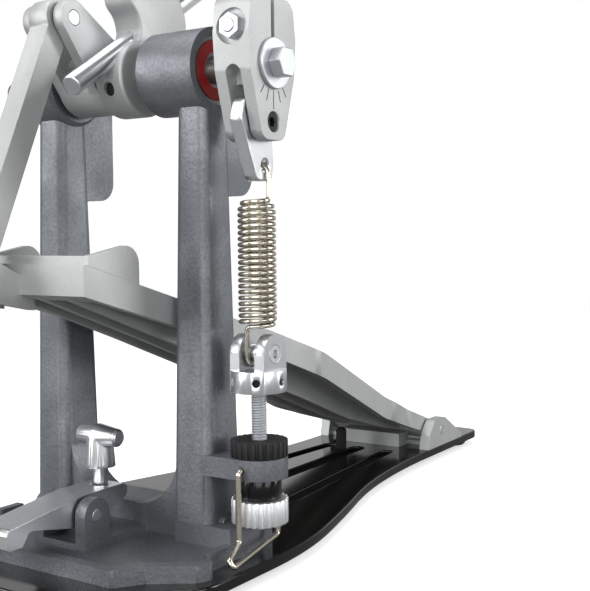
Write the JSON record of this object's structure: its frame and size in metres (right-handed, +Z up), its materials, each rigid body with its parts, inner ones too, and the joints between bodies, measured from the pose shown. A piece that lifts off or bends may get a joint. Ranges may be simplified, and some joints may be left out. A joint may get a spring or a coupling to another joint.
{
  "type": "bass drum pedal",
  "caption": "Direct-drive bass drum pedal unit on a base plate: footboard, link, axle with beater, side return spring with tension screw, and a hoop clamp.",
  "frame": {"origin": "on the floor, on the bottom of the middle rubber foot, straight under the middle of the axle", "axes": "+X towards the drum, +Y towards the drummer's left and the return spring, +Z up"},
  "size_m": [0.346, 0.1453, 0.3136],
  "materials": {
    "plate_black": "satin black powder coat",
    "rubber": "matte black rubber",
    "cast_grey": "fine-grained gunmetal casting",
    "cast_light": "satin light casting",
    "zinc": "zinc-plated steel",
    "chrome": "bright chrome",
    "nickel": "warm nickel wire",
    "steel": "ground steel",
    "seal_red": "deep red bearing seal",
    "nut_black": "matte black",
    "sleeve_black": "gloss black",
    "nut_bright": "bright turned aluminium",
    "felt": "pressed felt",
    "screw_black": "black oxide"
  },
  "bodies": {
    "frame": {"base_plate": "plate_black", "rubber_feet": "rubber", "pedestal": "cast_grey", "pedestal_screws": "screw_black", "bearings": "steel", "bearing_seals": "seal_red", "heel_block": "cast_light", "heel_screws": "screw_black", "heel_pin": "zinc", "stop_bumper": "rubber", "nut_sleeve": "sleeve_black", "clamp_pin": "zinc"},
    "board": {"footboard": "cast_light", "toe_stop": "cast_light", "toe_pin": "zinc"},
    "link": {"drive_link": "cast_light"},
    "axle_unit": {"axle": "steel", "axle_washer": "zinc", "axle_end_bolt": "zinc", "drive_arm": "cast_light", "arm_pin": "zinc", "beater_hub": "cast_light", "hub_screw": "screw_black", "spring_arm": "cast_light", "pinch_bolt": "zinc", "pinch_nut": "zinc", "hanger_pin": "screw_black"},
    "beater": {"beater_rod": "chrome", "beater_head": "felt"},
    "hanger": {"spring_hanger": "chrome"},
    "return_spring": {"spring": "nickel"},
    "tension_screw": {"tension_clevis": "chrome", "clevis_screw": "zinc", "tension_rod": "zinc"},
    "clevis_roller": {"roller": "chrome"},
    "top_nut": {"lock_nut": "nut_black"},
    "lower_nut": {"tension_nut": "nut_bright"},
    "bail": {"wire_bail": "nickel"},
    "jaw": {"clamp_jaw": "chrome"},
    "wing": {"wing_bolt": "chrome"}
  },
  "joints": [
    {"name": "footboard_press", "type": "hinge", "parent": "frame", "child": "board", "pos_m": [-0.216, 0, 0.0165], "axis": [0, 1, 0], "range_deg": [0, 5.08], "stiffness_Nm_per_rad": 60, "springref_deg": -2.86},
    {"name": "link_swing", "type": "hinge", "parent": "board", "child": "link", "pos_m": [0.068, -0.0155, 0.1129], "axis": [0, 1, 0], "range_deg": [-7, 1]},
    {"name": "axle_turn", "type": "hinge", "parent": "frame", "child": "axle_unit", "pos_m": [0, 0, 0.19], "axis": [0, 1, 0], "range_deg": [-1, 51]},
    {"name": "beater_height", "type": "slide", "parent": "axle_unit", "child": "beater", "axis": [-0.8387, 0, 0.5446], "range_m": [-0.02, 0.02]},
    {"name": "hanger_swing", "type": "hinge", "parent": "axle_unit", "child": "hanger", "pos_m": [0, 0.062, 0.1691], "axis": [0, 1, 0], "range_deg": [-62, 1]},
    {"name": "spring_stretch", "type": "slide", "parent": "hanger", "child": "return_spring", "axis": [0, 0, -1], "range_m": [-0.0005, 0.0105], "deforming": ["spring"]},
    {"name": "tension_nut_turn", "type": "hinge", "parent": "frame", "child": "lower_nut", "pos_m": [0, 0.062, 0.0256], "axis": [0, 0, 1], "range_deg": [-10, 730]},
    {"name": "tension_screw_rise", "type": "slide", "parent": "frame", "child": "tension_screw", "axis": [0, 0, 1], "range_m": [0, 0.002]},
    {"name": "roller_spin", "type": "hinge", "parent": "tension_screw", "child": "clevis_roller", "pos_m": [0, 0.062, 0.0844], "axis": [0, 1, 0], "continuous": true},
    {"name": "lock_nut_turn", "type": "hinge", "parent": "frame", "child": "top_nut", "pos_m": [0, 0.062, 0.0491], "axis": [0, 0, 1], "range_deg": [0, 360]},
    {"name": "bail_swing", "type": "hinge", "parent": "frame", "child": "bail", "pos_m": [0, 0.0614, 0.04215], "axis": [1, 0, 0], "range_deg": [0, 60]},
    {"name": "wing_turn", "type": "hinge", "parent": "frame", "child": "wing", "pos_m": [0.018, -0.002, 0.04], "axis": [0, 0, 1], "range_deg": [0, 720]},
    {"name": "jaw_swing", "type": "hinge", "parent": "frame", "child": "jaw", "pos_m": [0.034, -0.002, 0.024], "axis": [0, 1, 0], "range_deg": [0, 7.3]}
  ],
  "couplings": [
    {"joint": "axle_turn", "follows": "footboard_press", "ratio": 9.8328},
    {"joint": "link_swing", "follows": "footboard_press", "ratio": -0.9558},
    {"joint": "hanger_swing", "follows": "footboard_press", "ratio": -11.771},
    {"joint": "spring_stretch", "follows": "footboard_press", "m_per_rad": 0.09967},
    {"joint": "tension_nut_turn", "follows": "tension_screw_rise", "rad_per_m": 6283.2},
    {"joint": "jaw_swing", "follows": "wing_turn", "ratio": 0.009947}
  ]
}
